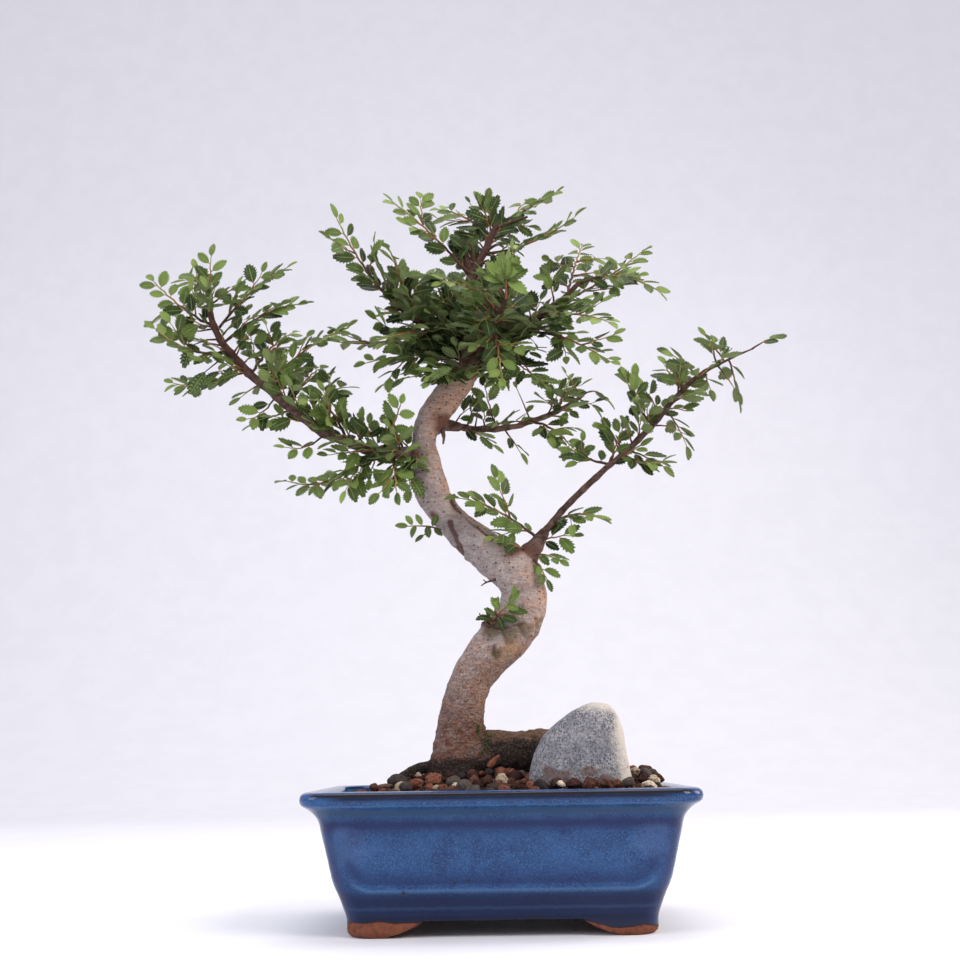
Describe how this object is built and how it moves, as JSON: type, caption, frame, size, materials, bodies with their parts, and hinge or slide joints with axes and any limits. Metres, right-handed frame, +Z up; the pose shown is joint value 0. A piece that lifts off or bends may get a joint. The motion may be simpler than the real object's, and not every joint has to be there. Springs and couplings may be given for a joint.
{
  "type": "chinese elm bonsai",
  "caption": "Small elm tree with a curved trunk, leafy sprays and an old horizontal root, growing beside a grey stone in a footed rectangular blue glazed pot.",
  "frame": {"origin": "on the surface the feet rest on, below the middle of the whole object's bounding box", "axes": "+Z up along the tree's height, +X to the right seen from the front, -Y towards the front with the stone"},
  "size_m": [0.401, 0.1612, 0.4513],
  "materials": {
    "glazed_pot": "glossy mottled blue glaze, bare terracotta feet",
    "drain_mesh": "matt moulded plastic",
    "soil": "matt lava, clay and pumice granules",
    "stone": "smooth speckled grey",
    "bark": "rough grey-brown bark with small dark pores",
    "foliage": "satin green leaves on thin brown twigs"
  },
  "bodies": {
    "root": {"pot": "glazed_pot", "drain_mesh_left": "drain_mesh", "drain_mesh_right": "drain_mesh", "soil": "soil", "stone": "stone", "trunk": "bark", "left_spray_01": "foliage", "left_spray_02": "foliage", "left_spray_03": "foliage", "left_spray_04": "foliage", "left_spray_05": "foliage", "left_spray_06": "foliage", "left_spray_07": "foliage", "left_spray_08": "foliage", "left_spray_09": "foliage", "left_spray_10": "foliage", "left_spray_11": "foliage", "left_spray_12": "foliage", "left_spray_13": "foliage", "left_spray_14": "foliage", "left_spray_15": "foliage", "left_spray_16": "foliage", "left_spray_17": "foliage", "crown_spray_01": "foliage", "crown_spray_02": "foliage", "crown_spray_03": "foliage", "crown_spray_04": "foliage", "crown_spray_05": "foliage", "crown_spray_06": "foliage", "crown_spray_07": "foliage", "crown_spray_08": "foliage", "crown_spray_09": "foliage", "crown_spray_10": "foliage", "crown_spray_11": "foliage", "crown_spray_12": "foliage", "crown_spray_13": "foliage", "crown_spray_14": "foliage", "crown_spray_15": "foliage", "crown_spray_16": "foliage", "crown_spray_17": "foliage", "crown_spray_18": "foliage", "crown_spray_19": "foliage", "crown_spray_20": "foliage", "crown_spray_21": "foliage", "right_spray_01": "foliage", "right_spray_02": "foliage", "right_spray_03": "foliage", "right_spray_04": "foliage", "right_spray_05": "foliage", "right_spray_06": "foliage", "right_spray_07": "foliage", "right_spray_08": "foliage", "right_spray_09": "foliage", "right_spray_10": "foliage", "back_spray_01": "foliage", "back_spray_02": "foliage", "back_spray_03": "foliage", "back_spray_04": "foliage", "trunk_sprout_low": "foliage", "trunk_sprout_high": "foliage"}
  },
  "joints": []
}
